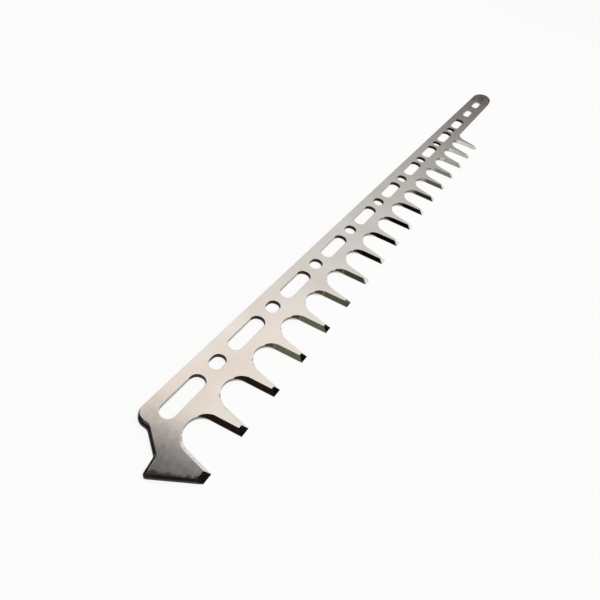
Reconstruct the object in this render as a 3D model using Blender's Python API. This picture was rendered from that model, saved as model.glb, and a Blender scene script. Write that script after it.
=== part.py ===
"""Hedge trimmer blade: a flat toothed steel strip with guide slots and a rounded drive shank."""
import math

import bmesh
import bpy
from mathutils import Vector
from mathutils.geometry import tessellate_polygon

MM = 0.001

# Plate: X runs along the blade, the teeth point to -Y, the cutting edges are in the bottom face
THICKNESS = 3.2 * MM
BODY_WIDTH = 27.0 * MM
SHANK_END = 751.5 * MM
SHANK_ROUNDING = 28.0 * MM

# Teeth
PITCH = 35.0 * MM
TOOTH_COUNT = 17
TOOTH_LENGTH = 29.6 * MM
TIP_WIDTH = 7.0 * MM
ROOT_RADIUS = 11.2 * MM

# Ground bevels, as widths in the plan view
FLANK_BEVEL = 2.8 * MM
END_BEVEL = 4.1 * MM
EDGE_LAND = 0.35 * MM
RUNOUT_ANGLE = math.radians(35.0)
RUNOUT_POWER = 0.6
RUNOUT_SPACING = 1.4

# Forked near end: corners as x, y and rounding radius, from the back edge to the first tooth
BACK_CORNER = (-16.0 * MM, 8.0 * MM)
NOTCH_TOP = (-16.0 * MM, 15.2 * MM, 6.0 * MM)
NOTCH_FOOT = (-26.0 * MM, 1.0 * MM, 4.0 * MM)
BARB = (-38.3 * MM, -1.5 * MM, 2.0 * MM)
BARB_CHAMFER = 1.9 * MM
TIP_CHAMFER = 1.3 * MM
CHAMFER_ANGLE = math.radians(32.0)

# Guide slots in the body
SLOT_LENGTH = 36.6 * MM
SLOT_WIDTH = 11.0 * MM
SLOT_HEIGHT = 13.6 * MM
FIRST_SLOT = 12.2 * MM
LONG_STEPS = 6
LONG_STEP = 65.6 * MM
SHORT_STEPS = 3
SHORT_STEP = 60.6 * MM

# Small oval holes between neighbouring slots
OVAL_LENGTH = 12.8 * MM
OVAL_WIDTH = 9.8 * MM

# Two narrower slots in the shank, as position and length
SHANK_SLOTS = ((644.0 * MM, 33.0 * MM), (693.0 * MM, 34.0 * MM))
SHANK_SLOT_WIDTH = 8.8 * MM

# Facets
ROOT_STEPS = 5
RUNOUT_STEPS = 9
FILLET_STEPS = 8
SLOT_STEPS = 12
OVAL_STEPS = 10
SHANK_STEPS = 24

STEEL = (0.46, 0.45, 0.44, 1.0)


def flank_angle():
    """Slope of a tooth's flank, which leaves the root circle as a tangent and ends at the tip."""
    half_gap = (PITCH - TIP_WIDTH) / 2
    drop = TOOTH_LENGTH - ROOT_RADIUS
    return math.atan2(half_gap, drop) - math.asin(ROOT_RADIUS / math.hypot(half_gap, drop))


def edge_point(x, y, land=THICKNESS, top=None):
    """One point of the outline: its plan position, the height of its plain wall, its top point."""
    return (x, y, land, top if top else (x, y))


def half_gap_points(centre, side):
    """One side of a gap between teeth, from the bottom of its root to the tooth's tip corner."""
    slope = flank_angle()
    bevel_turn = math.pi / 2 - slope - RUNOUT_ANGLE
    turns = [(RUNOUT_ANGLE * i / ROOT_STEPS, 0.0) for i in range(ROOT_STEPS)]
    for i in range(RUNOUT_STEPS + 1):
        run = (i / RUNOUT_STEPS) ** RUNOUT_SPACING
        turns.append((RUNOUT_ANGLE + bevel_turn * run, run ** RUNOUT_POWER))

    # The bevel keeps its slope while it widens away from the root, so its foot sinks as it widens
    points = []
    for angle, grown in turns:
        across = side * math.sin(angle)
        up = math.cos(angle)
        reach = ROOT_RADIUS + FLANK_BEVEL * grown
        land = THICKNESS - (THICKNESS - EDGE_LAND) * grown
        top = (centre + reach * across, reach * up - ROOT_RADIUS)
        points.append(edge_point(centre + ROOT_RADIUS * across, ROOT_RADIUS * (up - 1), land, top))
    tip = (PITCH - TIP_WIDTH) / 2
    tip_top = tip - END_BEVEL * math.tan(slope) + FLANK_BEVEL / math.cos(slope)
    corner_top = (centre + side * tip_top, END_BEVEL - TOOTH_LENGTH)
    points.append(edge_point(centre + side * tip, -TOOTH_LENGTH, EDGE_LAND, corner_top))
    return points


def rounded(before, corner, after, radius, steps):
    """Points of the arc that rounds a corner between two straight stretches."""
    here = Vector(corner)
    back = (Vector(before) - here).normalized()
    ahead = (Vector(after) - here).normalized()
    half = back.angle(ahead) / 2
    centre = here + (back + ahead).normalized() * radius / math.sin(half)
    start = here + back * radius / math.tan(half) - centre
    turn = start.angle_signed(here + ahead * radius / math.tan(half) - centre)
    points = []
    for i in range(steps + 1):
        angle = -turn * i / steps
        x = centre.x + start.x * math.cos(angle) - start.y * math.sin(angle)
        y = centre.y + start.x * math.sin(angle) + start.y * math.cos(angle)
        points.append((x, y))
    return points


def near_end_points():
    """Forked near end, from the back edge down to the first tooth's outer tip corner."""
    tip = (-(PITCH + TIP_WIDTH) / 2, -TOOTH_LENGTH)
    back_corner = (BACK_CORNER[0], BODY_WIDTH)
    stops = [(SHANK_END, BODY_WIDTH), back_corner, NOTCH_TOP[:2], NOTCH_FOOT[:2], BARB[:2]]
    radii = [BACK_CORNER[1], NOTCH_TOP[2], NOTCH_FOOT[2]]
    points = []
    for i, radius in enumerate(radii):
        arc = rounded(stops[i], stops[i + 1], stops[i + 2], radius, FILLET_STEPS)
        points += [edge_point(x, y) for x, y in arc]

    # The outer edge of the first tooth has a chamfer cut by one plane, which slopes down to the outside
    barb = Vector(BARB[:2])
    along = (Vector(tip) - barb).normalized()
    inward = Vector((-along.y, along.x))
    line_start = barb + inward * BARB_CHAMFER
    line = (Vector(tip) + inward * TIP_CHAMFER - line_start).normalized()
    line_in = Vector((-line.y, line.x))

    def outside(place):
        return max(0.0, (line_start - place).dot(line_in))

    def chamfer_height(place):
        return THICKNESS - math.tan(CHAMFER_ANGLE) * outside(place)

    for x, y in rounded(NOTCH_FOOT[:2], BARB[:2], tip, BARB[2], FILLET_STEPS):
        place = Vector((x, y))
        points.append(edge_point(x, y, chamfer_height(place), tuple(place + line_in * outside(place))))

    # The chamfer's foot meets the end bevel where both planes stand equally high over the edge
    def above_end_bevel(place):
        return chamfer_height(place) - EDGE_LAND - (THICKNESS - EDGE_LAND) * (place.y - tip[1]) / END_BEVEL

    at_tip = above_end_bevel(Vector(tip))
    meeting = Vector(tip).lerp(barb, at_tip / (at_tip - above_end_bevel(barb)))
    corner_top = tuple(line_start + line * (END_BEVEL - TOOTH_LENGTH - line_start.y) / line.y)
    points.append(edge_point(meeting.x, meeting.y, chamfer_height(meeting), corner_top))
    points.append(edge_point(tip[0], tip[1], EDGE_LAND, corner_top))
    return points


def outline_points():
    """The whole outline, counter-clockwise as seen from above."""
    points = []
    for gap in range(TOOTH_COUNT):
        centre = gap * PITCH
        points += reversed(half_gap_points(centre, -1))
        if gap < TOOTH_COUNT - 1:
            points += half_gap_points(centre, 1)[1:]

    # The shank ends in half an ellipse
    half_width = BODY_WIDTH / 2
    for i in range(SHANK_STEPS + 1):
        angle = math.pi * (i / SHANK_STEPS - 0.5)
        x = SHANK_END + SHANK_ROUNDING * (math.cos(angle) - 1)
        points.append(edge_point(x, half_width + half_width * math.sin(angle)))
    return points + near_end_points()


def stadium(centre, length, width, steps):
    """A round-ended slot, clockwise as seen from above."""
    radius = width / 2
    reach = length / 2 - radius
    points = []
    for end in (1, -1):
        for i in range(steps + 1):
            angle = math.pi * (0.5 - i / steps)
            x = centre + end * (reach + radius * math.cos(angle))
            points.append((x, SLOT_HEIGHT + end * radius * math.sin(angle)))
    return points


def slot_centres():
    """Positions of the guide slots along the blade."""
    centres = [FIRST_SLOT + LONG_STEP * i for i in range(LONG_STEPS + 1)]
    return centres + [centres[-1] + SHORT_STEP * (i + 1) for i in range(SHORT_STEPS)]


def hole_loops():
    """Every slot and hole as a loop of plan points."""
    centres = slot_centres()
    loops = [stadium(x, SLOT_LENGTH, SLOT_WIDTH, SLOT_STEPS) for x in centres]
    middles = [(a + b) / 2 for a, b in zip(centres, centres[1:])]
    loops += [stadium(x, OVAL_LENGTH, OVAL_WIDTH, OVAL_STEPS) for x in middles]
    loops += [stadium(x, length, SHANK_SLOT_WIDTH, SLOT_STEPS) for x, length in SHANK_SLOTS]
    return loops


def middle(points):
    """Shift that puts the middle of the outline's bounding box on the origin."""
    xs = [p[0] for p in points]
    ys = [p[1] for p in points]
    return (min(xs) + max(xs)) / 2, (min(ys) + max(ys)) / 2


def build_blade():
    """The blade as one closed mesh: two caps, the beveled outline and plain walls in the holes."""
    outline = outline_points()
    loops = [outline] + [[edge_point(x, y) for x, y in loop] for loop in hole_loops()]
    shift_x, shift_y = middle(outline)
    vertices = []
    index = {}

    def vertex(x, y, z):
        key = (round(x * 1e7), round(y * 1e7), round(z * 1e7))
        if key not in index:
            index[key] = len(vertices)
            vertices.append((x - shift_x, y - shift_y, z))
        return index[key]

    faces = []
    for loop in loops:
        for a, b in zip(loop, loop[1:] + loop[:1]):
            low = [vertex(a[0], a[1], 0.0), vertex(b[0], b[1], 0.0)]
            mid = [vertex(a[0], a[1], a[2]), vertex(b[0], b[1], b[2])]
            high = [vertex(*a[3], THICKNESS), vertex(*b[3], THICKNESS)]
            for ring in ((low[0], low[1], mid[1], mid[0]), (mid[0], mid[1], high[1], high[0])):
                face = [v for i, v in enumerate(ring) if v != ring[i - 1]]
                if len(face) > 2:
                    faces.append(face)
    for z, top in ((0.0, False), (THICKNESS, True)):
        rings = []
        for loop in loops:
            plan = [p[3] if top else p[:2] for p in loop]
            keys = [vertex(x, y, z) for x, y in plan]
            rings.append([v for i, v in enumerate(keys) if v != keys[i - 1]])
        order = [v for ring in rings for v in ring]
        for triangle in tessellate_polygon([[Vector(vertices[v]) for v in ring] for ring in rings]):
            corners = [order[i] for i in triangle]
            p, q, r = [vertices[v] for v in corners]
            upward = (q[0] - p[0]) * (r[1] - p[1]) - (q[1] - p[1]) * (r[0] - p[0]) > 0
            faces.append(corners if upward == top else corners[::-1])

    mesh = bpy.data.meshes.new("blade")
    mesh.from_pydata(vertices, [], faces)
    mesh.validate()
    work = bmesh.new()
    work.from_mesh(mesh)
    bmesh.ops.recalc_face_normals(work, faces=work.faces)
    work.to_mesh(mesh)
    work.free()
    mesh.set_sharp_from_angle(angle=math.radians(25.0))
    return mesh


def steel_material():
    """Plain ground steel."""
    material = bpy.data.materials.new("blade_steel")
    material.use_nodes = True
    shader = material.node_tree.nodes["Principled BSDF"]
    shader.inputs["Base Color"].default_value = STEEL
    shader.inputs["Metallic"].default_value = 1.0
    shader.inputs["Roughness"].default_value = 0.35
    return material


def main():
    for item in list(bpy.data.objects):
        bpy.data.objects.remove(item, do_unlink=True)
    blade = bpy.data.objects.new("blade", build_blade())
    blade.data.materials.append(steel_material())
    bpy.context.scene.collection.objects.link(blade)


main()
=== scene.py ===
"""Looks of a hedge trimmer blade: ground steel faces and bevels, cut edges darkened with painted shade, on a
pale studio floor.
"""

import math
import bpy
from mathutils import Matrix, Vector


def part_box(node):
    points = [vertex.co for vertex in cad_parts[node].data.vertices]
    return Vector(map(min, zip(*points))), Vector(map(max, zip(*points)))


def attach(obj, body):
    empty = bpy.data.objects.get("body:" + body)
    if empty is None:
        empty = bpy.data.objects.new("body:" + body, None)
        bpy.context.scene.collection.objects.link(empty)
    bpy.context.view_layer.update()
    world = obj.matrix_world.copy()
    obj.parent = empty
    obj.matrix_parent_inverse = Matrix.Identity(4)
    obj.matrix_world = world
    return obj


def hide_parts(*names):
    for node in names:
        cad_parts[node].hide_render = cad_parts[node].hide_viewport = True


bl_info = {
    "name": "Hedge Trimmer Blade",
    "version": (1, 0, 0),
    "blender": (4, 5, 0),
    "location": "3D View > Sidebar > Blade",
    "description": "Builds a ground steel hedge trimmer blade and the studio that it is shown in",
    "category": "Object",
}

import bpy
import numpy as np
from bpy.props import FloatProperty, FloatVectorProperty, IntProperty, PointerProperty
from mathutils import Matrix, Vector
from mathutils.geometry import tessellate_polygon

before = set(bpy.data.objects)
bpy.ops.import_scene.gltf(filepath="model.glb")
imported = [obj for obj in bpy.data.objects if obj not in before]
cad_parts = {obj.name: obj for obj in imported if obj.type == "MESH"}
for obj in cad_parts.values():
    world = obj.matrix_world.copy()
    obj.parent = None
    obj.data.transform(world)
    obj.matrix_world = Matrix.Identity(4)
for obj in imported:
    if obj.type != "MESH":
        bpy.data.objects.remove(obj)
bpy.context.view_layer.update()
BLADE_LOW, BLADE_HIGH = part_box("blade")
PLATE_HEIGHT = BLADE_HIGH[2] - BLADE_LOW[2]
MM = 0.001

# Surfaces of the blade: flat faces, bevels, cut walls, and rounded edges, which have the faces' steel
FACE = 0
BEVEL = 1
CUT = 2
ROUND = 3

# A row of the rim: the wall's foot seen from above, the height of its upright part, the top seen from
# above, and two traits: how round the strip between them is, and how much painted shade covers the wall
FOOT = slice(0, 2)
UPRIGHT = 2
TOP = slice(3, 5)
TRAITS = slice(5, 7)
MIRROR_ROW = np.array([-1, 1, 1, -1, 1, 1, 1])
MOVE_ROW = np.array([1, 0, 0, 1, 0, 0, 0])

# Points on the curves, and steps of the rounded corners and ends
PLAIN_ROOT_POINTS = 10
RUNOUT_POINTS = 19
SHANK_POINTS = 49
STRIP_POINTS = 7
FORK_STEPS = 16
NOSE_STEPS = 8
SLOT_STEPS = 24
OVAL_STEPS = 20

# Where a bevel runs out: how its points crowd to its start, and how soon its strip stops being round
RUNOUT_SPACING = 1.4
RUNOUT_SHARPENING = 8

# Forked end seen from above: its corners, and the radii that round the back corner and each of them
NOTCH_TOP = (-16.0 * MM, 15.2 * MM)
NOTCH_FOOT = (-26.0 * MM, 1.0 * MM)
BARB = (-38.3 * MM, -1.5 * MM)
BACK_RADIUS = 8.0 * MM
NOTCH_TOP_RADIUS = 6.0 * MM
NOTCH_FOOT_RADIUS = 4.0 * MM
BARB_RADIUS = 2.0 * MM

# Its worn edge: the depth and the width along the notch, as shares of the full width; the width and depth
# on the barb's nose, and the power at which it turns into the chamfer there
WORN_DEPTH = 0.35
NOTCH_WIDTH = 0.7
NOSE_WIDTH = 2.2 * MM
NOSE_DEPTH = 0.9 * MM
NOSE_POWER = 1.5

# Its chamfer: how far inside the barb and the first tip its upper line runs, and how steeply it falls
BARB_CHAMFER = 1.9 * MM
TIP_CHAMFER = 1.3 * MM
CHAMFER_ANGLE = math.radians(32)

# Slots in the shank: middle and length. Places of the points on a slot's straight side, in half lengths
SHANK_SLOTS = ((644 * MM, 33 * MM), (693 * MM, 34 * MM))
SIDE_PLACES = np.array([0.94, 0.8, -0.8, -0.94])

# Painted shade on the walls, a dark cover that stands in for the shade that the cut walls mirror, set for
# each kind of wall: of the gaps, the first tip, the holes' sides, the shank slots' sides and ends, and the
# share that is left on a hole's end towards the fork
GAP_SHADE = 0.3
TIP_SHADE = 0.45
SLOT_SIDE_SHADE = 0.15
OVAL_SIDE_SHADE = 0.8
SHANK_SLOT_SHADE = (0.1, 0.15)
END_SHADE_SHARE = 0.35

# How round a strip of the rim is: barely, more than not, and all through. How much painted shade a wall
# has that spreads onto its rounding, and by how much it passes the roundness on a chamfer
BARELY_ROUND = 0.05
MOSTLY_ROUND = 0.5
FULLY_ROUND = 0.995
COVERED = 0.475
CHAMFERED = 0.9

# Edges that turn by more than this are sharp
SHARP_ANGLE = math.radians(25)

# Levels that the painted shade of a covered wall takes, the wall itself and the lowest strips of its rounding
OUTLINE_SHADED_LEVELS = 4
HOLE_SHADED_LEVELS = 6

# Painted shade along the chamfer of the barb, a dark band on the top face: the direction across that
# edge, where the edge stands on it, how far the band reaches, how ragged it is, how much it spreads over
# a stretch of X at the corner
CHAMFER_SHADE_SIDE = (0.8609, 0.5087, 0)
CHAMFER_SHADE_START = -0.3387
CHAMFER_SHADE_REACH = 2.4 * MM
CHAMFER_SHADE_RAGGED = 1.2 * MM
CHAMFER_SHADE_SPREAD = 1.8 * MM
CHAMFER_SHADE_CORNER = (-0.394, -0.386)
CHAMFER_SHADE_COLOUR = (0.12, 0.115, 0.12)

# Blots on the forked end, the stretch of X over which they fade, spots in the painted shade of the walls,
# the stain's growth
BLOT_FADE = (-0.372, -0.345)
BLOT_COLOUR = (0.3, 0.31, 0.34)
SPOT_COLOUR = (0.07, 0.06, 0.053)
STAIN_GROWTH = 27 * MM

# Floor's white: its strength, and how much of it the camera and reflections see over the lit paper.
# Soft lamp: its side and its place, in metres. Camera: the width of its sensor, in millimetres
FLOOR_WHITE = 1.06
FLOOR_SHARE = 0.8
LAMP_SIZE = 0.8
LAMP_PLACE = (0.25, -0.45, 2.3)
SENSOR_WIDTH = 36


class BladeSizes(bpy.types.PropertyGroup):
    """Sizes of the blade; X runs along it, the teeth point to -Y, the cutting edges lie at the bottom."""

    pitch: FloatProperty(
        name="Tooth Spacing", description="From tooth to tooth", default=35 * MM, unit="LENGTH"
    )
    teeth: IntProperty(name="Teeth", description="How many teeth the blade has", default=17, min=2)
    tooth_length: FloatProperty(
        name="Tooth Length", description="From the root of a gap to the tip", default=29.6 * MM, unit="LENGTH"
    )
    tip_width: FloatProperty(
        name="Tip Width", description="Width of a tooth's tip at the cutting edge",
        default=7 * MM, unit="LENGTH"
    )
    root_radius: FloatProperty(
        name="Root Radius", description="Radius of the round root of a gap", default=11.2 * MM, unit="LENGTH"
    )
    body_width: FloatProperty(
        name="Body Width", description="From the roots to the back edge", default=27 * MM, unit="LENGTH"
    )
    shank_end: FloatProperty(
        name="Shank End", description="From the first gap to the end of the shank",
        default=751.5 * MM, unit="LENGTH"
    )
    shank_rounding: FloatProperty(
        name="Shank Rounding", description="Length of the rounded end of the shank",
        default=28 * MM, unit="LENGTH"
    )
    flank_bevel: FloatProperty(
        name="Flank Bevel", description="Width of a flank's bevel, seen from above",
        default=2.8 * MM, unit="LENGTH"
    )
    end_bevel: FloatProperty(
        name="End Bevel", description="Length of a tip's bevel, seen from above",
        default=4.1 * MM, unit="LENGTH"
    )
    edge_land: FloatProperty(
        name="Edge Land", description="Height of the upright edge under a bevel",
        default=0.35 * MM, unit="LENGTH"
    )
    runout_angle: FloatProperty(
        name="Run-out Start", description="Turn around the root at which a flank's bevel begins",
        default=math.radians(35), subtype="ANGLE"
    )
    runout_power: FloatProperty(
        name="Run-out Power", description="How fast the bevel widens from its start", default=0.6, min=0.1
    )
    slot_length: FloatProperty(
        name="Slot Length", description="Length of a guide slot", default=36.6 * MM, unit="LENGTH"
    )
    slot_width: FloatProperty(
        name="Slot Width", description="Width of a guide slot", default=11 * MM, unit="LENGTH"
    )
    slot_height: FloatProperty(
        name="Slot Height", description="From the roots to the middle line of the slots",
        default=13.6 * MM, unit="LENGTH"
    )
    first_slot: FloatProperty(
        name="First Slot", description="From the first gap to the first slot's middle",
        default=12.2 * MM, unit="LENGTH"
    )
    long_step: FloatProperty(
        name="Long Slot Step", description="Spacing of the first slots", default=65.6 * MM, unit="LENGTH"
    )
    long_steps: IntProperty(
        name="Long Steps", description="How many long spacings there are", default=6, min=0
    )
    short_step: FloatProperty(
        name="Short Slot Step", description="Spacing of the last slots", default=60.6 * MM, unit="LENGTH"
    )
    short_steps: IntProperty(
        name="Short Steps", description="How many short spacings there are", default=3, min=0
    )
    oval_length: FloatProperty(
        name="Oval Length", description="Length of the small holes between the slots",
        default=12.8 * MM, unit="LENGTH"
    )
    oval_width: FloatProperty(
        name="Oval Width", description="Width of the small holes between the slots",
        default=9.8 * MM, unit="LENGTH"
    )
    shank_slot_width: FloatProperty(
        name="Shank Slot Width", description="Width of the two slots in the shank",
        default=8.8 * MM, unit="LENGTH"
    )
    edge_break: FloatProperty(
        name="Edge Break", description="Width of the small rounding on every top edge",
        default=0.2 * MM, unit="LENGTH"
    )
    hole_rounding: FloatProperty(
        name="Hole Rounding", description="Width of the rounding round every hole",
        default=0.3 * MM, unit="LENGTH"
    )
    fork_rounding: FloatProperty(
        name="Fork Rounding", description="Width of the worn rounding along the forked end",
        default=2.6 * MM, unit="LENGTH"
    )


class SteelFinish(bpy.types.PropertyGroup):
    """Colours and textures of the blade's steel."""

    face_colour: FloatVectorProperty(
        name="Face", description="Ground steel of the flat faces",
        default=(0.72, 0.711, 0.697), subtype="COLOR", min=0, max=1
    )
    smudge_colour: FloatVectorProperty(
        name="Smudges", description="Cloudy film on the flat faces",
        default=(0.67, 0.652, 0.631), subtype="COLOR", min=0, max=1
    )
    bevel_colour: FloatVectorProperty(
        name="Bevels", description="Steel of the ground bevels",
        default=(0.72, 0.704, 0.682), subtype="COLOR", min=0, max=1
    )
    # Bare steel of the cut walls where no painted shade covers them
    unshaded_wall_colour: FloatVectorProperty(
        name="Rubbed Edges", description="Cut edges where they are rubbed bare",
        default=(0.6, 0.58, 0.56), subtype="COLOR", min=0, max=1
    )
    # Painted shade: a dark cover on the cut walls that stands in for the shade they mirror
    painted_shade_colour: FloatVectorProperty(
        name="Scale", description="Dark scale on the cut edges",
        default=(0.024, 0.0155, 0.013), subtype="COLOR", min=0, max=1
    )
    stain_colour: FloatVectorProperty(
        name="Shank Stain", description="Dark stain at the shank's end",
        default=(0.17, 0.15, 0.14), subtype="COLOR", min=0, max=1
    )
    face_roughness: FloatProperty(
        name="Face Roughness", description="Gloss of the flat faces", default=0.14, min=0, max=1
    )
    bevel_roughness: FloatProperty(
        name="Bevel Roughness", description="Gloss of the bevels", default=0.07, min=0, max=1
    )
    # Gloss of the painted shade on the cut walls
    painted_shade_roughness: FloatProperty(
        name="Scale Roughness", description="Gloss of the dark scale", default=0.5, min=0, max=1
    )
    stain_start: FloatProperty(
        name="Stain Start", description="Where along the blade the shank's stain begins",
        default=334 * MM, unit="LENGTH"
    )


class StudioSettings(bpy.types.PropertyGroup):
    """Floor, lamp and camera."""

    floor_size: FloatProperty(
        name="Floor Size", description="Side of the square floor", default=12, unit="LENGTH"
    )
    floor_colour: FloatVectorProperty(
        name="Floor", description="Colour of the floor",
        default=(0.9, 0.9, 0.9), subtype="COLOR", min=0, max=1
    )
    lamp_power: FloatProperty(
        name="Lamp Power", description="Power of the soft overhead lamp, in watts", default=14
    )
    lens: FloatProperty(
        name="Lens", description="Focal length on a 36 mm sensor, in millimetres", default=28.2
    )
    camera_place: FloatVectorProperty(
        name="Camera", description="Where the camera stands",
        default=(-0.4683, -0.0765, 0.2589), subtype="TRANSLATION"
    )
    camera_right: FloatVectorProperty(
        name="Camera Right", description="Direction of the picture's right side",
        default=(0.5116, -0.8289, 0.2263)
    )
    camera_up: FloatVectorProperty(
        name="Camera Up", description="Direction of the picture's top side", default=(0.5371, 0.5141, 0.6687)
    )


def edge_rows(points, inside, width, depth=None, scale=1.0):
    """Rows of a plain wall whose top edge is rounded.

    The top lies inside the wall by the rounding's width, and the wall's upright part ends below the top
    face by its depth, which is the same as the width where none is given.
    """
    count = len(points)
    width = np.broadcast_to(width, count)
    depth = width if depth is None else np.broadcast_to(depth, count)
    top = points + inside * width[:, None]
    # The last column is how much painted shade the wall takes
    return np.column_stack([points, PLATE_HEIGHT - depth, top, np.ones(count), np.full(count, scale)])


def arc(centre, radius, start, end, steps):
    """Points at one radius around a centre, and the direction into the steel at each.

    The steel lies to the left of the path: towards the centre where the arc turns left, away from it
    where the arc turns right.
    """
    angle = np.linspace(start, end, steps + 1)
    out = np.column_stack([np.cos(angle), np.sin(angle)])
    return np.array(centre) + radius * out, -math.copysign(1, end - start) * out


def gap_side(sizes):
    """Right side of a gap from its root to the tooth's tip corner.

    The root is an arc of one radius. The flank is its tangent through the tip corner, so it leaves the
    arc where the arc has turned by a right angle less the flank's slope. From the run-out angle on, a
    bevel grows with the turn to the run-out power, and its foot sinks in step with its width.
    """
    half_gap = (sizes.pitch - sizes.tip_width) / 2
    drop = sizes.tooth_length - sizes.root_radius
    slope = math.atan2(half_gap, drop) - math.asin(sizes.root_radius / math.hypot(half_gap, drop))
    run = np.linspace(0, 1, RUNOUT_POINTS) ** RUNOUT_SPACING
    plain = np.linspace(0, sizes.runout_angle, PLAIN_ROOT_POINTS)[:-1]
    angle = np.concatenate([plain, sizes.runout_angle + (math.pi / 2 - slope - sizes.runout_angle) * run])
    grown = np.concatenate([np.zeros_like(plain), run**sizes.runout_power])
    reach = sizes.root_radius + np.maximum(sizes.flank_bevel * grown, sizes.edge_break)
    x = np.append(sizes.root_radius * np.sin(angle), half_gap)
    y = np.append(sizes.root_radius * (np.cos(angle) - 1), -sizes.tooth_length)
    sunk = np.maximum((PLATE_HEIGHT - sizes.edge_land) * grown, sizes.edge_break)
    land = np.append(PLATE_HEIGHT - sunk, sizes.edge_land)
    corner = half_gap - sizes.end_bevel * math.tan(slope) + sizes.flank_bevel / math.cos(slope)
    top_x = np.append(reach * np.sin(angle), corner)
    top_y = np.append(reach * np.cos(angle) - sizes.root_radius, sizes.end_bevel - sizes.tooth_length)
    roundness = np.append(1 - np.minimum(grown * RUNOUT_SHARPENING, 1), 0)
    return np.column_stack([x, y, land, top_x, top_y, roundness, np.full(len(x), GAP_SHADE)])


def toothed_edge(sizes):
    """All gaps in a row: each is one gap side, mirrored and in reverse, and the side itself."""
    right = gap_side(sizes)
    left = right[::-1] * MIRROR_ROW
    gap = np.concatenate([left, right[1:]])
    along = MOVE_ROW * sizes.pitch
    gaps = (gap + np.arange(sizes.teeth - 1)[:, None, None] * along).reshape(-1, gap.shape[1])
    return np.concatenate([gaps, left + along * (sizes.teeth - 1)])


def corner_arc(before, corner, after, radius, steps):
    """Arc that rounds a corner; its centre is on the bisector, at the radius over the half angle's sine."""
    back = (Vector(before) - Vector(corner)).normalized()
    ahead = (Vector(after) - Vector(corner)).normalized()
    half = back.angle(ahead) / 2
    centre = Vector(corner) + (back + ahead).normalized() * radius / math.sin(half)
    first = Vector(corner) + back * radius / math.tan(half) - centre
    last = Vector(corner) + ahead * radius / math.tan(half) - centre
    start = math.atan2(first.y, first.x)
    turn = (math.atan2(last.y, last.x) - start + math.pi) % (2 * math.pi) - math.pi
    return arc(centre, radius, start, start + turn, steps)


def forked_end(sizes):
    """Near end: two rounded corners and a notch with a worn edge, then the barb with its chamfered edge.

    The worn edge widens round the back corner and narrows round the notch's top, both eased by three
    times the square of the share of the way less twice its cube. The chamfer is one plane through a
    line in the top face, which falls to the outside at one slope: a point outside that line is moved
    straight back onto it, and its wall is lower by the slope times the distance. On the barb's nose the
    worn edge turns into the chamfer step by step.
    """
    tip = Vector((-(sizes.pitch + sizes.tip_width) / 2, -sizes.tooth_length))
    barb = Vector(BARB)
    way = np.linspace(0, 1, FORK_STEPS + 1)
    eased = way**2 * (3 - 2 * way)
    full = sizes.fork_rounding
    narrow = NOTCH_WIDTH * full
    worn_depth = WORN_DEPTH * full
    widening = sizes.edge_break + (full - sizes.edge_break) * eased
    narrowing = full + (narrow - full) * eased

    rear = sizes.body_width
    stops = [(sizes.shank_end, rear), (NOTCH_TOP[0], rear), NOTCH_TOP, NOTCH_FOOT, BARB]
    corners = (
        (stops[0:3], BACK_RADIUS, widening, np.minimum(widening, worn_depth)),
        (stops[1:4], NOTCH_TOP_RADIUS, narrowing, worn_depth),
        (stops[2:5], NOTCH_FOOT_RADIUS, narrow, worn_depth),
    )
    rows = []
    for places, radius, width, depth in corners:
        rows.append(edge_rows(*corner_arc(*places, radius, FORK_STEPS), width, depth))

    along = (tip - barb).normalized()
    inward = Vector((-along.y, along.x))
    line_start = barb + inward * BARB_CHAMFER
    line = (tip + inward * TIP_CHAMFER - line_start).normalized()
    line_in = np.array([-line.y, line.x])
    fall = math.tan(CHAMFER_ANGLE)

    def outside(points):
        """How far points lie outside the chamfer's upper line."""
        return np.maximum(0, (np.array(line_start) - points) @ line_in)

    nose, inside = corner_arc(NOTCH_FOOT, barb, tip, BARB_RADIUS, NOSE_STEPS)
    count = len(nose)
    back = outside(nose)
    chamfered = np.column_stack(
        [nose, PLATE_HEIGHT - fall * back, nose + back[:, None] * line_in, np.zeros(count), np.ones(count)]
    )
    share = np.linspace(0, 1, count)[:, None] ** NOSE_POWER
    rows.append(edge_rows(nose, inside, NOSE_WIDTH, NOSE_DEPTH) * (1 - share) + chamfered * share)

    # The chamfer's foot meets the tip's bevel where both planes stand equally high over the edge
    ends = np.array([tip, barb])
    spare = PLATE_HEIGHT - fall * outside(ends) - sizes.edge_land
    spare -= (PLATE_HEIGHT - sizes.edge_land) * (ends[:, 1] + sizes.tooth_length) / sizes.end_bevel
    meeting = ends[0] + (ends[1] - ends[0]) * spare[0] / (spare[0] - spare[1])
    land = PLATE_HEIGHT - fall * outside(meeting[None])[0]
    corner = line_start + line * (sizes.end_bevel - sizes.tooth_length - line_start.y) / line.y
    rows.append([[*meeting, land, *corner, 0, 1], [*tip, sizes.edge_land, *corner, 0, TIP_SHADE]])
    return np.concatenate(rows)


def shank_tip(sizes):
    """Half an ellipse as wide as the body, from the front edge round to the back edge."""
    angle = np.linspace(-math.pi / 2, math.pi / 2, SHANK_POINTS)
    half_width = sizes.body_width / 2
    x = sizes.shank_end + sizes.shank_rounding * (np.cos(angle) - 1)
    y = half_width * (1 + np.sin(angle))
    inside = -np.column_stack([np.cos(angle) / sizes.shank_rounding, np.sin(angle) / half_width])
    inside /= np.linalg.norm(inside, axis=1)[:, None]
    return edge_rows(np.column_stack([x, y]), inside, sizes.edge_break)


def blade_outline(sizes):
    """The whole outline, counter-clockwise from above: teeth, shank with its round end, forked end."""
    return np.concatenate([toothed_edge(sizes), shank_tip(sizes), forked_end(sizes)])


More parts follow.
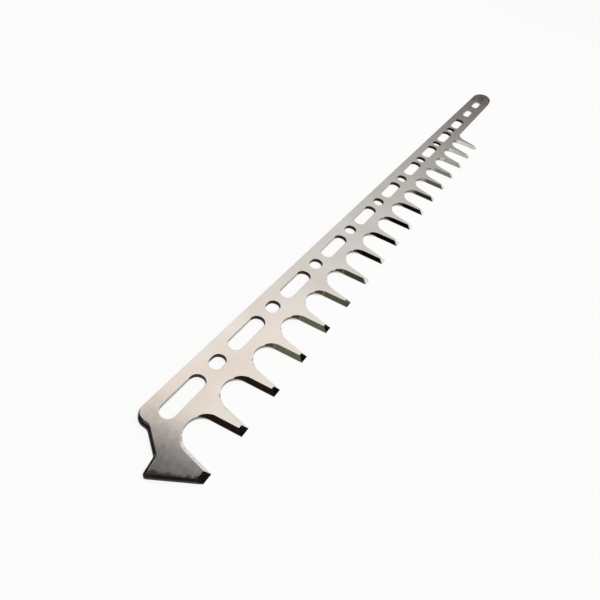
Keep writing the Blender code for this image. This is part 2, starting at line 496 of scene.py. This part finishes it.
def round_slot(sizes, centre, length, width, steps, side_shade, end_shade=1.0):
    """A slot with round ends, clockwise from above: two half circles and two straight sides.

    The sides and the end towards the fork get less painted shade than the other end.
    """
    reach = (length - width) / 2
    middle = sizes.slot_height
    rows = []
    for side, cover in ((1, end_shade), (-1, END_SHADE_SHARE * end_shade)):
        start = side * math.pi / 2
        points, inside = arc((centre + side * reach, middle), width / 2, start, start - math.pi, steps)
        rows.append(edge_rows(points, inside, sizes.hole_rounding, scale=cover))
        x = centre + side * reach * SIDE_PLACES
        points = np.column_stack([x, np.full(len(x), middle - side * width / 2)])
        inside = np.tile([0, -side], (len(x), 1))
        rows.append(edge_rows(points, inside, sizes.hole_rounding, scale=side_shade))
    return np.concatenate(rows)


def blade_holes(sizes):
    """Guide slots at two spacings, a small oval half-way between neighbours, and two slots in the shank."""
    long_part = sizes.first_slot + sizes.long_step * np.arange(sizes.long_steps + 1)
    short_part = long_part[-1] + sizes.short_step * np.arange(1, sizes.short_steps + 1)
    slots = np.append(long_part, short_part)
    guide = (sizes.slot_length, sizes.slot_width, SLOT_STEPS, SLOT_SIDE_SHADE)
    oval = (sizes.oval_length, sizes.oval_width, OVAL_STEPS, OVAL_SIDE_SHADE)
    shank = (sizes.shank_slot_width, OVAL_STEPS, *SHANK_SLOT_SHADE)
    holes = [round_slot(sizes, x, *guide) for x in slots]
    holes += [round_slot(sizes, x, *oval) for x in (slots[:-1] + slots[1:]) / 2]
    return holes + [round_slot(sizes, x, length, *shank) for x, length in SHANK_SLOTS]


def rim_grid(loop):
    """The rim as a path carried through eight levels: the bottom, the wall's top, and six up to the top face.

    A round strip follows a quarter circle, its way in being one less the cosine and its way up the sine
    of the turn; a bevel goes straight. The roundness mixes the two.
    """
    closed = np.concatenate([loop, loop[:1]])
    foot, upright, traits = closed[:, FOOT], closed[:, UPRIGHT], closed[:, TRAITS]
    step = np.linspace(0, 1, STRIP_POINTS)[:, None]
    turn = step * math.pi / 2
    way_in = (step + (1 - np.cos(turn) - step) * traits[:, 0])[..., None]
    way_up = step + (np.sin(turn) - step) * traits[:, 0]
    plan = foot + (closed[:, TOP] - foot) * way_in
    level = upright + (PLATE_HEIGHT - upright) * way_up
    upper = np.concatenate([plan, level[..., None]], axis=2)
    bottom = np.column_stack([foot, np.zeros(len(closed))])
    return np.concatenate([bottom[None], upper]), traits


def rim_triangles(loop, shaded_levels):
    """Triangles of a rim, with their slots, texture places and painted shade.

    A texture place is the distance along the path and the height up the rim. A strip is a bevel where
    it goes straight, and has the faces' steel where it is round. The painted shade of a covered wall also
    takes the lowest strips of its rounding, and all of them where the rounding turns into a straight chamfer
    and on the chamfer itself. The wall, the lowest level, is always a cut surface.
    """
    grid, traits = rim_grid(loop)
    levels, steps = grid.shape[:2]
    along = np.append(0, np.cumsum(np.linalg.norm(np.diff(grid[0], axis=0), axis=1)))
    climbed = np.cumsum(np.linalg.norm(np.diff(grid, axis=0), axis=2), axis=0)
    across = np.concatenate([np.zeros((1, steps)), climbed])
    places = np.stack([np.broadcast_to(along, across.shape), across], axis=2).reshape(-1, 2)
    index = np.arange(levels * steps).reshape(levels, steps)
    low, high = index[:-1], index[1:]
    quads = np.stack([low[:, :-1], low[:, 1:], high[:, 1:], high[:, :-1]], axis=2)

    roundness, cover = ((traits[:-1] + traits[1:]) / 2).T
    covered = (roundness > BARELY_ROUND) & (cover > COVERED)
    slots = np.full(quads.shape[:2], BEVEL)
    slots[:, roundness > MOSTLY_ROUND] = ROUND
    slots[:shaded_levels, covered] = CUT
    slots[:, covered & (roundness < FULLY_ROUND)] = CUT
    slots[:, cover - roundness > CHAMFERED] = CUT
    slots[0] = CUT
    quads = quads.reshape(-1, 4)
    triangles = np.concatenate([quads[:, [0, 1, 2]], quads[:, [0, 2, 3]]])
    scale = np.tile(traits[:, 1], levels)
    return grid.reshape(-1, 3), places, triangles, np.tile(slots.reshape(-1), 2), scale


def cap_triangles(rings, height, upward):
    """A flat face between the outline and the holes; its texture place is its plan position."""
    points = np.concatenate(rings)
    flat = [[Vector((x, y, 0)) for x, y in ring] for ring in rings]
    triangles = np.array(tessellate_polygon(flat))
    a, b, c = (points[triangles[:, i]] for i in range(3))
    area = (b[:, 0] - a[:, 0]) * (c[:, 1] - a[:, 1]) - (b[:, 1] - a[:, 1]) * (c[:, 0] - a[:, 0])
    wrong = (area > 0) != upward
    triangles[wrong] = triangles[wrong][:, ::-1]
    points = np.column_stack([points, np.full(len(points), height)])
    return points, points[:, :2], triangles, np.full(len(triangles), FACE), np.zeros(len(points))


def blade_mesh(sizes):
    """Joins the rims and the two flat faces, and merges the points that they share."""
    loops = [blade_outline(sizes)] + blade_holes(sizes)
    parts = [rim_triangles(loops[0], OUTLINE_SHADED_LEVELS)]
    parts += [rim_triangles(loop, HOLE_SHADED_LEVELS) for loop in loops[1:]]
    parts.append(cap_triangles([loop[:, FOOT] for loop in loops], 0.0, False))
    parts.append(cap_triangles([loop[:, TOP] for loop in loops], PLATE_HEIGHT, True))
    start = np.cumsum([0] + [len(part[0]) for part in parts[:-1]])
    points = np.concatenate([part[0] for part in parts])
    places = np.concatenate([part[1] for part in parts])
    triangles = np.concatenate([part[2] + first for part, first in zip(parts, start)])
    slots = np.concatenate([part[3] for part in parts])
    # How much painted shade each point takes
    scale = np.concatenate([part[4] for part in parts])

    # Points within a tenth of a micrometre are one point; triangles that lose a corner go
    per_metre = 1e7
    keys, first, merged = np.unique(
        np.round(points * per_metre).astype(np.int64), axis=0, return_index=True, return_inverse=True
    )
    corners = merged.reshape(-1)[triangles]
    whole = np.all(corners != np.roll(corners, -1, axis=1), axis=1)

    # The outline's middle goes to the middle of the box that it replaces
    outline = loops[0][:, FOOT]
    middle = (outline.min(axis=0) + outline.max(axis=0)) / 2
    spots = keys / per_metre - np.append(middle, 0)
    spots += np.append((np.array(BLADE_LOW[:2]) + np.array(BLADE_HIGH[:2])) / 2, BLADE_LOW[2])
    return spots, corners[whole], slots[whole], places[triangles[whole]], scale[first]


def keep_faces_flat(mesh, slots):
    """Marks every edge between a flat face and the rim as sharp, so that no rounding shades the face.

    Such an edge is one that exactly one triangle of a flat face uses.
    """
    used = np.zeros(len(mesh.loops), dtype=np.int32)
    mesh.loops.foreach_get("edge_index", used)
    flat = np.bincount(used, weights=np.repeat(slots == FACE, 3), minlength=len(mesh.edges))
    sharp = np.zeros(len(mesh.edges), dtype=bool)
    mesh.edges.foreach_get("use_edge_sharp", sharp)
    mesh.edges.foreach_set("use_edge_sharp", sharp | (flat == 1))


def link(obj):
    """Puts an object into the scene."""
    bpy.context.scene.collection.objects.link(obj)
    return obj


def put(tree, socket, value):
    """Gives an input a link or a plain value."""
    if isinstance(value, bpy.types.NodeSocket):
        tree.links.new(value, socket)
    else:
        socket.default_value = value


def feed(tree, node, **values):
    """Sets inputs of a node by name, each to a link or to a plain value."""
    for name, value in values.items():
        put(tree, node.inputs[name.replace("_", " ")], value)


def add(tree, kind, **values):
    """Adds a node; names that match a property set it, the others go to the input of that name."""
    node = tree.nodes.new(kind)
    for name, value in values.items():
        if hasattr(node, name):
            setattr(node, name, value)
        else:
            feed(tree, node, **{name: value})
    return node


def math_node(tree, operation, *values):
    """A Math node on links or numbers; returns its output."""
    node = add(tree, "ShaderNodeMath", operation=operation)
    for socket, value in zip(node.inputs, values):
        put(tree, socket, value)
    return node.outputs[0]


def times(tree, first, second):
    """The product of two values, each a link or a number."""
    return math_node(tree, "MULTIPLY", first, second)


def map_range(tree, value, low, high, to_low, to_high, smooth=False):
    """Maps a value from one range onto another."""
    kind = "SMOOTHSTEP" if smooth else "LINEAR"
    node = add(tree, "ShaderNodeMapRange", clamp=True, interpolation_type=kind, Value=value)
    feed(tree, node, From_Min=low, From_Max=high, To_Min=to_low, To_Max=to_high)
    return node.outputs["Result"]


def mix_colour(tree, factor, first, second, blend="MIX"):
    """Mixes two colours, each a link or a plain colour, by a factor."""
    node = add(tree, "ShaderNodeMix", data_type="RGBA", blend_type=blend)
    for name, kind, value in (("Factor", "VALUE", factor), ("A", "RGBA", first), ("B", "RGBA", second)):
        socket = next(s for s in node.inputs if s.name == name and s.type == kind and s.enabled)
        if kind == "RGBA" and not isinstance(value, bpy.types.NodeSocket):
            value = (*value[:3], 1)
        put(tree, socket, value)
    return next(s for s in node.outputs if s.type == "RGBA")


def axes_of(tree, vector):
    """The X, Y and Z outputs of a vector."""
    return add(tree, "ShaderNodeSeparateXYZ", Vector=vector).outputs


def dot(tree, vector, direction):
    """How far a vector reaches along a fixed direction."""
    node = add(tree, "ShaderNodeVectorMath", operation="DOT_PRODUCT")
    tree.links.new(vector, node.inputs[0])
    node.inputs[1].default_value = direction
    return node.outputs["Value"]


def noise(tree, place, scale, detail, roughness):
    """A noise texture's value at a place, with features about one over the scale apart."""
    node = add(tree, "ShaderNodeTexNoise", Vector=place, Scale=scale, Detail=detail, Roughness=roughness)
    return node.outputs["Fac"]


def stretched(tree, place, scale):
    """The place, scaled apart along each axis, so that a texture on it turns into streaks."""
    return add(tree, "ShaderNodeMapping", Vector=place, Scale=scale).outputs["Vector"]


def grain_group():
    """Group of the marks that grinding leaves: two widths of streaks, as one value around a half."""
    tree = bpy.data.node_groups.new("grinding marks", "ShaderNodeTree")
    for name, kind in (("Place", "Vector"), ("Fine", "Float"), ("Coarse", "Float")):
        tree.interface.new_socket(name=name, in_out="INPUT", socket_type="NodeSocket" + kind)
    tree.interface.new_socket(name="Marks", in_out="OUTPUT", socket_type="NodeSocketFloat")
    inside = tree.nodes.new("NodeGroupInput")
    outside = tree.nodes.new("NodeGroupOutput")
    place, fine, coarse = (inside.outputs[name] for name in ("Place", "Fine", "Coarse"))
    fine = noise(tree, place, fine, detail=1, roughness=0.6)
    coarse = noise(tree, place, coarse, detail=3, roughness=0.6)
    total = times(tree, math_node(tree, "ADD", fine, coarse), 0.5)
    tree.links.new(total, outside.inputs["Marks"])
    return tree


def marks_node(tree, group, place, fine, coarse):
    """Places the group of grinding marks, with the scales of its fine and coarse streaks."""
    node = add(tree, "ShaderNodeGroup", node_tree=group, Place=place, Fine=fine, Coarse=coarse)
    return node.outputs["Marks"]


def bump(tree, height, strength, distance):
    """Normal of a surface that a height roughens."""
    node = add(tree, "ShaderNodeBump", Height=height, Strength=strength, Distance=distance)
    return node.outputs["Normal"]


def new_material(name):
    """An empty material, with its nodes and its shader."""
    material = bpy.data.materials.new(name)
    material.use_nodes = True
    tree = material.node_tree
    return material, tree, tree.nodes["Principled BSDF"]


def shaded(tree, colour, shade):
    """A colour, made darker or lighter by a value that multiplies it."""
    grey = add(tree, "ShaderNodeCombineColor", Red=shade, Green=shade, Blue=shade)
    return mix_colour(tree, 1.0, colour, grey.outputs["Color"], "MULTIPLY")


def blotted_and_chamfer_shaded(tree, place, x, colour):
    """The faces' colour with blots on the forked end, and with painted shade along the chamfer of the barb.

    The painted shade is a dark band, darkest at the chamfer and gone one reach further in. A noise makes
    its border ragged, and it spreads towards the corner, where the blade ends.
    """
    blot = map_range(tree, noise(tree, place, scale=260, detail=4, roughness=0.65), 0.38, 0.62, 0.25, 0)
    near = map_range(tree, x, *BLOT_FADE, 1, 0, True)
    colour = mix_colour(tree, times(tree, near, blot), colour, BLOT_COLOUR)

    # Painted shade: a dark band along the barb's chamfer
    smear = noise(tree, stretched(tree, place, (0.6, 1, 1)), scale=420, detail=3, roughness=0.65)
    ragged = map_range(tree, smear, 0.3, 0.7, -CHAMFER_SHADE_RAGGED, CHAMFER_SHADE_RAGGED)
    edge = math_node(tree, "ADD", dot(tree, place, CHAMFER_SHADE_SIDE), ragged)
    edge = math_node(tree, "SUBTRACT", edge, map_range(tree, x, *CHAMFER_SHADE_CORNER, CHAMFER_SHADE_SPREAD, 0))
    chamfer_shade = map_range(tree, edge, CHAMFER_SHADE_START, CHAMFER_SHADE_START + CHAMFER_SHADE_REACH, 0.85, 0, True)
    return mix_colour(tree, chamfer_shade, colour, CHAMFER_SHADE_COLOUR)


def face_steel(finish, marks):
    """Flat faces: fine lengthwise grinding marks and cloudy smudges, with a stain, blots and painted shade.

    The stain grows towards the end of the shank and breaks up into mottles. The blots and the painted
    shade along the barb's chamfer are on the forked end.
    """
    material, tree, shader = new_material("face_steel")
    place = add(tree, "ShaderNodeTexCoord").outputs["Object"]
    lines = marks_node(tree, marks, stretched(tree, place, (0.03, 1, 1)), fine=2600, coarse=900)
    cloud = noise(tree, place, scale=24, detail=3, roughness=0.5)
    film = map_range(tree, cloud, 0.4, 0.66, 0, 1)
    colour = mix_colour(tree, film, finish.face_colour, finish.smudge_colour)
    colour = shaded(tree, colour, map_range(tree, lines, 0.3, 0.7, 0.965, 1.02))

    x = axes_of(tree, place)["X"]
    reach = map_range(tree, x, finish.stain_start, finish.stain_start + STAIN_GROWTH, 0, 1, True)
    mottle = map_range(tree, noise(tree, place, scale=120, detail=3, roughness=0.6), 0.4, 0.6, 0.5, 1)
    stain = times(tree, reach, mottle)
    colour = mix_colour(tree, stain, colour, finish.stain_colour)
    colour = blotted_and_chamfer_shaded(tree, place, x, colour)

    rough = map_range(tree, cloud, 0.3, 0.7, finish.face_roughness - 0.02, finish.face_roughness + 0.03)
    rough = math_node(tree, "ADD", rough, times(tree, stain, 0.12))
    rough = math_node(tree, "ADD", rough, map_range(tree, lines, 0.3, 0.7, -0.015, 0.02))
    normal = bump(tree, lines, strength=0.03, distance=0.01 * MM)
    feed(tree, shader, Base_Color=colour, Roughness=rough, Normal=normal, Metallic=1.0)
    return material


def bevel_steel(finish, marks):
    """Bevels: grinding marks straight across the bevel, from the cutting edge up to the flat face."""
    material, tree, shader = new_material("bevel_steel")
    place = add(tree, "ShaderNodeUVMap", uv_map="surface").outputs["UV"]
    lines = marks_node(tree, marks, stretched(tree, place, (1, 0.06, 1)), fine=1300, coarse=500)
    colour = shaded(tree, finish.bevel_colour, map_range(tree, lines, 0.4, 0.6, 0.78, 1.12))
    rough = map_range(tree, lines, 0.3, 0.7, finish.bevel_roughness - 0.01, finish.bevel_roughness + 0.03)
    normal = bump(tree, lines, strength=0.02, distance=0.01 * MM)
    feed(tree, shader, Base_Color=colour, Roughness=rough, Normal=normal, Metallic=1.0)
    return material


def cut_steel(finish, marks):
    """Cut edges: painted shade, a dark cover that comes down the wall from the top edge and stands in for the
    shade that the walls mirror, and bare steel below it.
    """
    material, tree, shader = new_material("cut_steel")
    place = add(tree, "ShaderNodeUVMap", uv_map="surface").outputs["UV"]
    lines = marks_node(tree, marks, stretched(tree, place, (1, 0.1, 1)), fine=2200, coarse=700)
    # How much painted shade the wall takes, from the point attribute named scale
    scale = add(tree, "ShaderNodeAttribute", attribute_name="scale").outputs["Fac"]

    # The painted shade's lower border: the stronger the shade, the lower it lies, ragged by the grinding
    # marks
    up = math_node(tree, "DIVIDE", axes_of(tree, place)["Y"], PLATE_HEIGHT)
    up = math_node(tree, "ADD", up, map_range(tree, lines, 0.3, 0.7, -0.12, 0.12))
    foot = math_node(tree, "SUBTRACT", 0.6, scale)
    cover = map_range(tree, up, foot, math_node(tree, "ADD", foot, 0.45), 0, 1, True)

    # Dark spots in the painted shade
    spot = noise(tree, add(tree, "ShaderNodeTexCoord").outputs["Object"], scale=160, detail=3, roughness=0.6)
    dark = mix_colour(tree, map_range(tree, spot, 0.5, 0.75, 0, 0.4), finish.painted_shade_colour, SPOT_COLOUR)
    colour = mix_colour(tree, cover, finish.unshaded_wall_colour, dark)
    colour = shaded(tree, colour, map_range(tree, lines, 0.3, 0.7, 0.75, 1.1))
    rough = map_range(tree, cover, 0, 1, 0.3, finish.painted_shade_roughness)
    metal = map_range(tree, cover, 0, 1, 0.95, 0.3)
    normal = bump(tree, lines, strength=0.15, distance=0.04 * MM)
    feed(tree, shader, Base_Color=colour, Roughness=rough, Metallic=metal, Normal=normal)
    feed(tree, shader, Specular_IOR_Level=0.25)
    return material


class BLADE_OT_build_blade(bpy.types.Operator):
    """Build the steel blade over its frame"""

    bl_idname = "blade.build_blade"
    bl_label = "Build Blade"

    def execute(self, context):
        sizes = context.scene.blade_sizes
        finish = context.scene.blade_finish
        points, triangles, slots, places, scale = blade_mesh(sizes)
        mesh = bpy.data.meshes.new("blade_steel")
        mesh.from_pydata(points.tolist(), [], triangles.tolist())
        if len(mesh.polygons) != len(triangles):
            raise RuntimeError("the blade's mesh lost triangles")
        steels = np.where(slots == ROUND, FACE, slots)
        mesh.polygons.foreach_set("material_index", steels.astype(np.int32))
        surface = mesh.uv_layers.new(name="surface")
        surface.data.foreach_set("uv", places.reshape(-1).astype(np.float32))
        # The point attribute named scale holds how much painted shade each point of a cut wall takes
        mesh.attributes.new("scale", "FLOAT", "POINT").data.foreach_set("value", scale.astype(np.float32))
        mesh.polygons.foreach_set("use_smooth", np.ones(len(triangles), dtype=bool))
        mesh.set_sharp_from_angle(angle=SHARP_ANGLE)
        keep_faces_flat(mesh, slots)
        marks = grain_group()
        for steel in (face_steel, bevel_steel, cut_steel):
            mesh.materials.append(steel(finish, marks))
        blade = link(bpy.data.objects.new("blade_steel", mesh))
        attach(blade, "root")
        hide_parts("blade")
        return {"FINISHED"}


# The studio that the steel mirrors. Angles are in degrees: azimuth from +X to +Y, elevation up from the
# floor. A band is its middle, its half width and the softness of its sides. A patch is the azimuth and
# the elevation of its middle, how far from there it is full and how far from there it ends.
STUDIO_GREY = (0.5, 0.49, 0.48)
ROOM_COLOUR = (0.016, 0.0115, 0.01)
ROOM_BANDS = ((-171, 132, 1.5), (53.5, 34.5, 1.5))
ROOM_TOP = (14, 70, 59.5, 62)
ROOM_TOP_COLOUR = (0.002, 0.002, 0.002)

# Dim olive wall across the room: where it is, its own colour, and two parts of it that differ
OLIVE_PATCH = (14, 70, 73.5, 76)
OLIVE_BAND = (-140, 60, 8)
OLIVE_COLOUR = (0.075, 0.073, 0.048)
OLIVE_PARTS = (((-146, 9, 5), (0.2, 0.19, 0.15)), ((-178, 20, 5), (0.1, 0.103, 0.06)))

# Ceiling, gone below the first elevation and full above the second; four dark corners, full below and
# gone above; and two dark patches overhead
CEILING_PATCH = (-3, 66.7, 44.3, 52.8)
CEILING_FOOT = (29.5, 33)
CEILING_COLOUR = (1.02, 1.02, 1.0)
DARK_CORNERS = ((118, 64, 18, 26), (95, 62, 14, 22), (76, 48, 14, 20), (150, 8, 14, 22))
CORNERS_TOP = (71.5, 74.5)
OVERHEAD_PATCHES = ((52, 70, 5.5, 10.5), (36, 73, 5, 10.5))
OVERHEAD_COLOUR = (0.062, 0.072, 0.088)

# Panes of light and dark: azimuth band, elevation band and colour. The window is a band of its slant
# instead, which is the elevation and a share of the azimuth. The panel is halved past an azimuth
PANES = {
    "wall spot": ((-178, 20, 5), (36, 8, 3), (0.165, 0.17, 0.112)),
    "low light": ((-50, 12, 3), (8, 7.5, 1.5), (1.0, 0.98, 0.95)),
    "window": ((124, 34, 6), (61, 4, 3), (0.72, 0.71, 0.69)),
    "dark strip": ((-80, 17, 4), (16.5, 4, 1.5), (0.06, 0.052, 0.045)),
    "high light": ((-53, 18.5, 7), (51, 18.2, 1), (1.05, 1.05, 1.03)),
    "panel": ((-27, 11.2, 1.2), (8, 14, 3), (1.1, 1.1, 1.08)),
}
WINDOW_SLANT = 0.28
PANEL_FADE = (-22.5, -17.5)

# The wall ahead, which the flat faces mirror: its azimuth band, and its elevations and their colours
WALL_BAND = (12, 46, 6)
WALL_AHEAD = (
    (0.0, (0.09, 0.08, 0.07)),
    (15.5, (0.12, 0.112, 0.105)),
    (18.0, (0.245, 0.235, 0.225)),
    (20.2, (0.3, 0.288, 0.277)),
    (21.2, (0.425, 0.406, 0.383)),
    (22.5, (0.48, 0.457, 0.427)),
    (28.0, (0.665, 0.648, 0.604)),
    (34.0, (0.86, 0.835, 0.805)),
    (42.0, (0.95, 0.905, 0.86)),
    (49.0, (1.15, 1.08, 1.0)),
    (55.0, (1.18, 1.06, 0.97)),
    (61.0, (1.17, 1.05, 0.95)),
    (66.0, (1.02, 0.96, 0.9)),
    (90.0, (0.7, 0.69, 0.68)),
)

# A ramp holds colours up to one, so the wall's are divided by this first and multiplied by it after
RAMP_PEAK = 1.3


def patch(tree, direction, azimuth, elevation, full, end, smooth=True):
    """Cover of a round patch of the studio: full up to one angle from its middle, gone at the other."""
    turn = math.radians(azimuth)
    rise = math.radians(elevation)
    middle = (math.cos(rise) * math.cos(turn), math.cos(rise) * math.sin(turn), math.sin(rise))
    low, high = math.cos(math.radians(end)), math.cos(math.radians(full))
    return map_range(tree, dot(tree, direction, middle), low, high, 0, 1, smooth)


def card(tree, value, middle, half, softness):
    """Cover of a band of one angle, with soft sides; angles past the half turn come round again."""
    turn = math_node(tree, "WRAP", math_node(tree, "SUBTRACT", value, middle), 180, -180)
    far = math_node(tree, "ABSOLUTE", turn)
    return map_range(tree, far, half - softness, half + softness, 1, 0, True)


def wall_ahead(tree, elevation):
    """Colour of the wall ahead, as a ramp over the elevation: dark at the floor, lightest at 55 degrees."""
    ramp = add(tree, "ShaderNodeValToRGB", Fac=math_node(tree, "DIVIDE", elevation, 90))
    ramp.color_ramp.interpolation = "LINEAR"
    stops = ramp.color_ramp.elements
    while len(stops) < len(WALL_AHEAD):
        stops.new(1.0)
    for stop, (height, colour) in zip(stops, WALL_AHEAD):
        stop.position = height / 90
        stop.color = (*(value / RAMP_PEAK for value in colour), 1)
    return mix_colour(tree, 1.0, ramp.outputs["Color"], (RAMP_PEAK, RAMP_PEAK, RAMP_PEAK), "MULTIPLY")


def pane_cover(tree, angles, bands):
    """Cover of a pane: the product of a band of the first angle and a band of the second."""
    covers = [card(tree, angle, *band) for angle, band in zip(angles, bands)]
    return times(tree, *covers)


def lay_pane(tree, angles, name, below, fade=None):
    """Lays a pane's colour over what is below it; a fade multiplies its cover."""
    *bands, colour = PANES[name]
    cover = pane_cover(tree, angles, bands)
    if fade is not None:
        cover = times(tree, cover, fade)
    return mix_colour(tree, cover, below, colour)


def dark_room(tree, direction, angles):
    """Colour of the room behind the camera: nearly black, with a dim olive wall across its middle."""
    azimuth = angles[0]
    wall = OLIVE_COLOUR
    for band, colour in OLIVE_PARTS:
        wall = mix_colour(tree, card(tree, azimuth, *band), wall, colour)
    wall = lay_pane(tree, angles, "wall spot", wall)
    cover = times(tree, patch(tree, direction, *OLIVE_PATCH), card(tree, azimuth, *OLIVE_BAND))
    room = mix_colour(tree, cover, ROOM_COLOUR, wall)
    return mix_colour(tree, patch(tree, direction, *ROOM_TOP), room, ROOM_TOP_COLOUR)


def mirrored_studio(tree):
    """What the steel mirrors: a light wall ahead, a light ceiling, and a dark room behind the camera.

    The parts are laid over each other in order, from a plain grey to the dark patches overhead. The
    ceiling's cover is the square of its patch, so that it fades like a light.
    """
    direction = add(tree, "ShaderNodeTexCoord").outputs["Generated"]
    axes = axes_of(tree, direction)
    degrees = 180 / math.pi
    azimuth = times(tree, math_node(tree, "ARCTAN2", axes["Y"], axes["X"]), degrees)
    elevation = times(tree, math_node(tree, "ARCSINE", axes["Z"]), degrees)
    angles = (azimuth, elevation)

    room = dark_room(tree, direction, angles)
    light = mix_colour(tree, pane_cover(tree, angles, ROOM_BANDS), STUDIO_GREY, room)
    ceiling = math_node(tree, "POWER", patch(tree, direction, *CEILING_PATCH, smooth=False), 2)
    ceiling = times(tree, ceiling, map_range(tree, elevation, *CEILING_FOOT, 0, 1))
    light = mix_colour(tree, ceiling, light, CEILING_COLOUR)
    light = lay_pane(tree, angles, "low light", light)

    below_top = map_range(tree, elevation, *CORNERS_TOP, 1, 0)
    for corner in DARK_CORNERS:
        cover = times(tree, patch(tree, direction, *corner), below_top)
        light = mix_colour(tree, cover, light, ROOM_COLOUR)
    slant = math_node(tree, "ADD", elevation, times(tree, azimuth, WINDOW_SLANT))
    light = lay_pane(tree, (azimuth, slant), "window", light)
    light = lay_pane(tree, angles, "dark strip", light)
    light = lay_pane(tree, angles, "high light", light)
    light = mix_colour(tree, card(tree, azimuth, *WALL_BAND), light, wall_ahead(tree, elevation))
    light = lay_pane(tree, angles, "panel", light, map_range(tree, azimuth, *PANEL_FADE, 1, 0.5))
    overhead = math_node(tree, "MAXIMUM", *(patch(tree, direction, *place) for place in OVERHEAD_PATCHES))
    return mix_colour(tree, overhead, light, OVERHEAD_COLOUR)


def build_world(scene):
    """White to the camera, and the studio in what the steel mirrors and what lights it."""
    world = bpy.data.worlds.new("studio")
    scene.world = world
    world.use_nodes = True
    tree = world.node_tree
    path = add(tree, "ShaderNodeLightPath")
    colour = mix_colour(tree, path.outputs["Is Camera Ray"], mirrored_studio(tree), (1, 1, 1))
    tree.links.new(colour, tree.nodes["Background"].inputs["Color"])


def build_floor(studio):
    """A square matt floor, white to the camera and in reflections, that still takes a faint shadow."""
    half = studio.floor_size / 2
    corner = np.array([[-half, -half, 0], [half, -half, 0], [half, half, 0], [-half, half, 0]])
    mesh = bpy.data.meshes.new("floor")
    mesh.from_pydata((corner + [0, 0, BLADE_LOW[2]]).tolist(), [], [(0, 1, 2, 3)])
    floor = link(bpy.data.objects.new("floor", mesh))
    material, tree, shader = new_material("floor_paper")
    feed(tree, shader, Base_Color=(*studio.floor_colour, 1), Roughness=0.9, Specular_IOR_Level=0.0)
    glow = add(tree, "ShaderNodeEmission", Strength=FLOOR_WHITE)
    path = add(tree, "ShaderNodeLightPath")
    seen = math_node(tree, "MAXIMUM", path.outputs["Is Camera Ray"], path.outputs["Is Glossy Ray"])
    seen = math_node(tree, "MAXIMUM", seen, path.outputs["Is Transmission Ray"])
    blend = add(tree, "ShaderNodeMixShader")
    share = times(tree, seen, FLOOR_SHARE)
    for socket, source in zip(blend.inputs, (share, shader.outputs[0], glow.outputs[0])):
        tree.links.new(source, socket)
    tree.links.new(blend.outputs[0], tree.nodes["Material Output"].inputs["Surface"])
    mesh.materials.append(material)


def build_lamp(studio):
    """One soft lamp, nearly straight above the blade; the steel mirrors the studio instead of it."""
    light = bpy.data.lights.new("soft_lamp", "AREA")
    light.shape = "SQUARE"
    light.size = LAMP_SIZE
    light.energy = studio.lamp_power
    lamp = link(bpy.data.objects.new("soft_lamp", light))
    lamp.visible_glossy = False
    place = Vector(LAMP_PLACE)
    lamp.matrix_world = Matrix.Translation(place) @ place.to_track_quat("Z", "Y").to_matrix().to_4x4()


def build_camera(scene, studio):
    """Camera whose axes are given as the picture's right and up directions."""
    right = Vector(studio.camera_right).normalized()
    back = right.cross(Vector(studio.camera_up)).normalized()
    up = back.cross(right)
    camera = link(bpy.data.objects.new("camera", bpy.data.cameras.new("camera")))
    camera.data.sensor_width = SENSOR_WIDTH
    camera.data.lens = studio.lens
    camera.data.clip_start = 10 * MM
    turn = Matrix((right, up, back)).transposed().to_4x4()
    camera.matrix_world = Matrix.Translation(studio.camera_place) @ turn
    scene.camera = camera


class BLADE_OT_build_stage(bpy.types.Operator):
    """Build the floor, the studio light and the camera"""

    bl_idname = "blade.build_stage"
    bl_label = "Build Stage"

    def execute(self, context):
        scene = context.scene
        studio = scene.blade_studio
        scene.view_settings.view_transform = "Standard"
        build_world(scene)
        build_floor(studio)
        build_lamp(studio)
        build_camera(scene, studio)
        return {"FINISHED"}


class VIEW3D_PT_blade(bpy.types.Panel):
    """Sizes, finishes and the buttons that build the blade and its stage"""

    bl_label = "Hedge Trimmer Blade"
    bl_space_type = "VIEW_3D"
    bl_region_type = "UI"
    bl_category = "Blade"

    def draw(self, context):
        for title in ("Sizes", "Finish", "Studio"):
            group = getattr(context.scene, "blade_" + title.lower())
            box = self.layout.box()
            box.label(text=title)
            for name in group.__annotations__:
                box.prop(group, name)
        self.layout.operator(BLADE_OT_build_blade.bl_idname)
        self.layout.operator(BLADE_OT_build_stage.bl_idname)


CLASSES = (
    BladeSizes,
    SteelFinish,
    StudioSettings,
    BLADE_OT_build_blade,
    BLADE_OT_build_stage,
    VIEW3D_PT_blade,
)


def register():
    """Registers the classes and gives the scene its three groups of settings."""
    for item in CLASSES:
        bpy.utils.register_class(item)
    bpy.types.Scene.blade_sizes = PointerProperty(type=BladeSizes)
    bpy.types.Scene.blade_finish = PointerProperty(type=SteelFinish)
    bpy.types.Scene.blade_studio = PointerProperty(type=StudioSettings)


def unregister():
    """Takes away what register made."""
    del bpy.types.Scene.blade_studio
    del bpy.types.Scene.blade_finish
    del bpy.types.Scene.blade_sizes
    for item in reversed(CLASSES):
        bpy.utils.unregister_class(item)


def plain(box):
    """A box as lists of plain numbers."""
    return [[float(number) for number in corner] for corner in box]


def main():
    """Builds the blade and the stage."""
    register()
    bpy.ops.blade.build_blade()
    bpy.ops.blade.build_stage()


if __name__ == "__main__":
    main()
